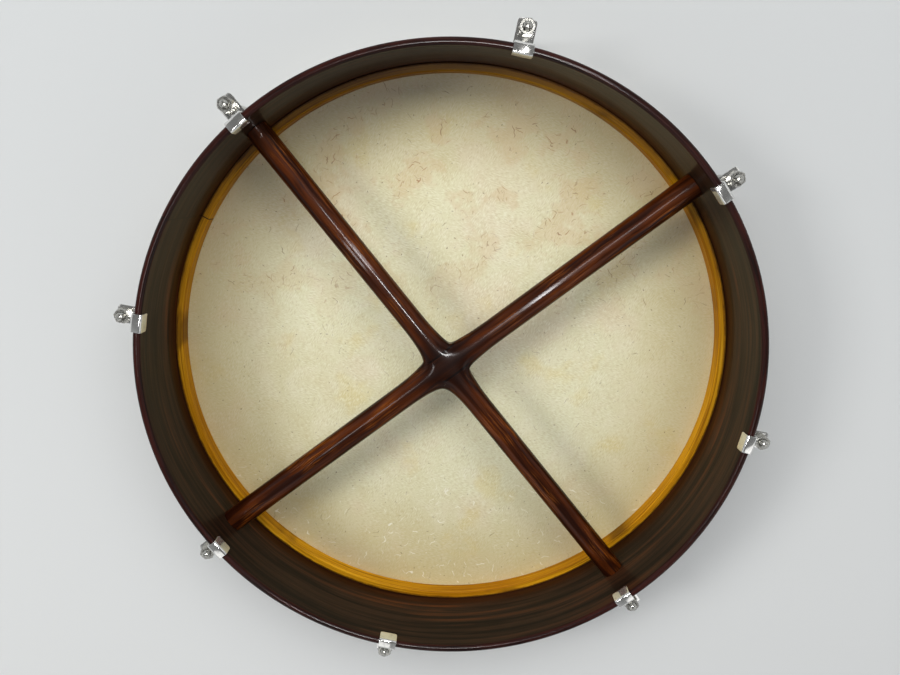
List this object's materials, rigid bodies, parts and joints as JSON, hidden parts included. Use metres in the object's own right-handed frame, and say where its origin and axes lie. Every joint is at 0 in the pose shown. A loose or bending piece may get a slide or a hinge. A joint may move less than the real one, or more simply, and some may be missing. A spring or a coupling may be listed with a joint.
{
  "type": "frame drum",
  "caption": "Shallow round frame drum with one hide head, crossed wooden hand bars in the open back, and outside tuning hooks held by clips over the rim.",
  "frame": {"origin": "centre of the head's outer face, the face that the drum lies on", "axes": "+Z along the drum's axis from the head to the open back; +Y towards the side that is uppermost in the picture; +X to the picture's right"},
  "size_m": [0.4881, 0.4869, 0.0774],
  "materials": {
    "frame_wood": "glossy varnish",
    "bar_wood": "glossy varnish",
    "ring_wood": "satin varnish",
    "goatskin": "matt hide",
    "nickel_plate": "polished plate",
    "steel": "dull plate",
    "brass": "aged"
  },
  "bodies": {
    "root": {"frame_shell": "frame_wood", "bearing_ring": "ring_wood", "skin_head": "goatskin", "crossbar_main": "bar_wood", "crossbar_cross": "bar_wood", "bar_screw_upper_right": "brass", "bar_screw_lower_left": "brass", "bar_screw_upper_left": "brass", "bar_screw_lower_right": "brass", "clip_1": "nickel_plate", "clip_2": "nickel_plate", "clip_3": "nickel_plate", "clip_4": "nickel_plate", "clip_5": "nickel_plate", "clip_6": "nickel_plate", "clip_7": "nickel_plate", "clip_8": "nickel_plate"},
    "tension_hoop": {"counter_hoop": "nickel_plate", "flesh_hoop": "steel", "hook_rod_1": "steel", "hook_rod_2": "steel", "hook_rod_3": "steel", "hook_rod_4": "steel", "hook_rod_5": "steel", "hook_rod_6": "steel", "hook_rod_7": "steel", "hook_rod_8": "steel"},
    "nut_1": {"hook_nut_1": "steel"},
    "nut_2": {"hook_nut_2": "steel"},
    "nut_3": {"hook_nut_3": "steel"},
    "nut_4": {"hook_nut_4": "steel"},
    "nut_5": {"hook_nut_5": "steel"},
    "nut_6": {"hook_nut_6": "steel"},
    "nut_7": {"hook_nut_7": "steel"},
    "nut_8": {"hook_nut_8": "steel"}
  },
  "joints": [
    {"name": "head_tension", "type": "slide", "parent": "root", "child": "tension_hoop", "axis": [0, 0, 1], "range_m": [-0.0012, 0.003], "deforming": ["skin_head"]},
    {"name": "nut_1_turn", "type": "hinge", "parent": "root", "child": "nut_1", "pos_m": [0.19823, 0.13881, 0.0607], "axis": [0, 0, -1], "range_deg": [-433, 1081]},
    {"name": "nut_2_turn", "type": "hinge", "parent": "root", "child": "nut_2", "pos_m": [0.05073, 0.23662, 0.0607], "axis": [0, 0, -1], "range_deg": [-433, 1081]},
    {"name": "nut_3_turn", "type": "hinge", "parent": "root", "child": "nut_3", "pos_m": [-0.1523, 0.18807, 0.0607], "axis": [0, 0, -1], "range_deg": [-433, 1081]},
    {"name": "nut_4_turn", "type": "hinge", "parent": "root", "child": "nut_4", "pos_m": [-0.23825, 0.04244, 0.0607], "axis": [0, 0, -1], "range_deg": [-433, 1081]},
    {"name": "nut_5_turn", "type": "hinge", "parent": "root", "child": "nut_5", "pos_m": [-0.19173, -0.14766, 0.0607], "axis": [0, 0, -1], "range_deg": [-433, 1081]},
    {"name": "nut_6_turn", "type": "hinge", "parent": "root", "child": "nut_6", "pos_m": [-0.05403, -0.23589, 0.0607], "axis": [0, 0, -1], "range_deg": [-433, 1081]},
    {"name": "nut_7_turn", "type": "hinge", "parent": "root", "child": "nut_7", "pos_m": [0.1453, -0.19352, 0.0607], "axis": [0, 0, -1], "range_deg": [-433, 1081]},
    {"name": "nut_8_turn", "type": "hinge", "parent": "root", "child": "nut_8", "pos_m": [0.23561, -0.05526, 0.0607], "axis": [0, 0, -1], "range_deg": [-433, 1081]}
  ],
  "couplings": [
    {"joint": "nut_1_turn", "follows": "head_tension", "rad_per_m": 6283.2},
    {"joint": "nut_2_turn", "follows": "head_tension", "rad_per_m": 6283.2},
    {"joint": "nut_3_turn", "follows": "head_tension", "rad_per_m": 6283.2},
    {"joint": "nut_4_turn", "follows": "head_tension", "rad_per_m": 6283.2},
    {"joint": "nut_5_turn", "follows": "head_tension", "rad_per_m": 6283.2},
    {"joint": "nut_6_turn", "follows": "head_tension", "rad_per_m": 6283.2},
    {"joint": "nut_7_turn", "follows": "head_tension", "rad_per_m": 6283.2},
    {"joint": "nut_8_turn", "follows": "head_tension", "rad_per_m": 6283.2}
  ]
}
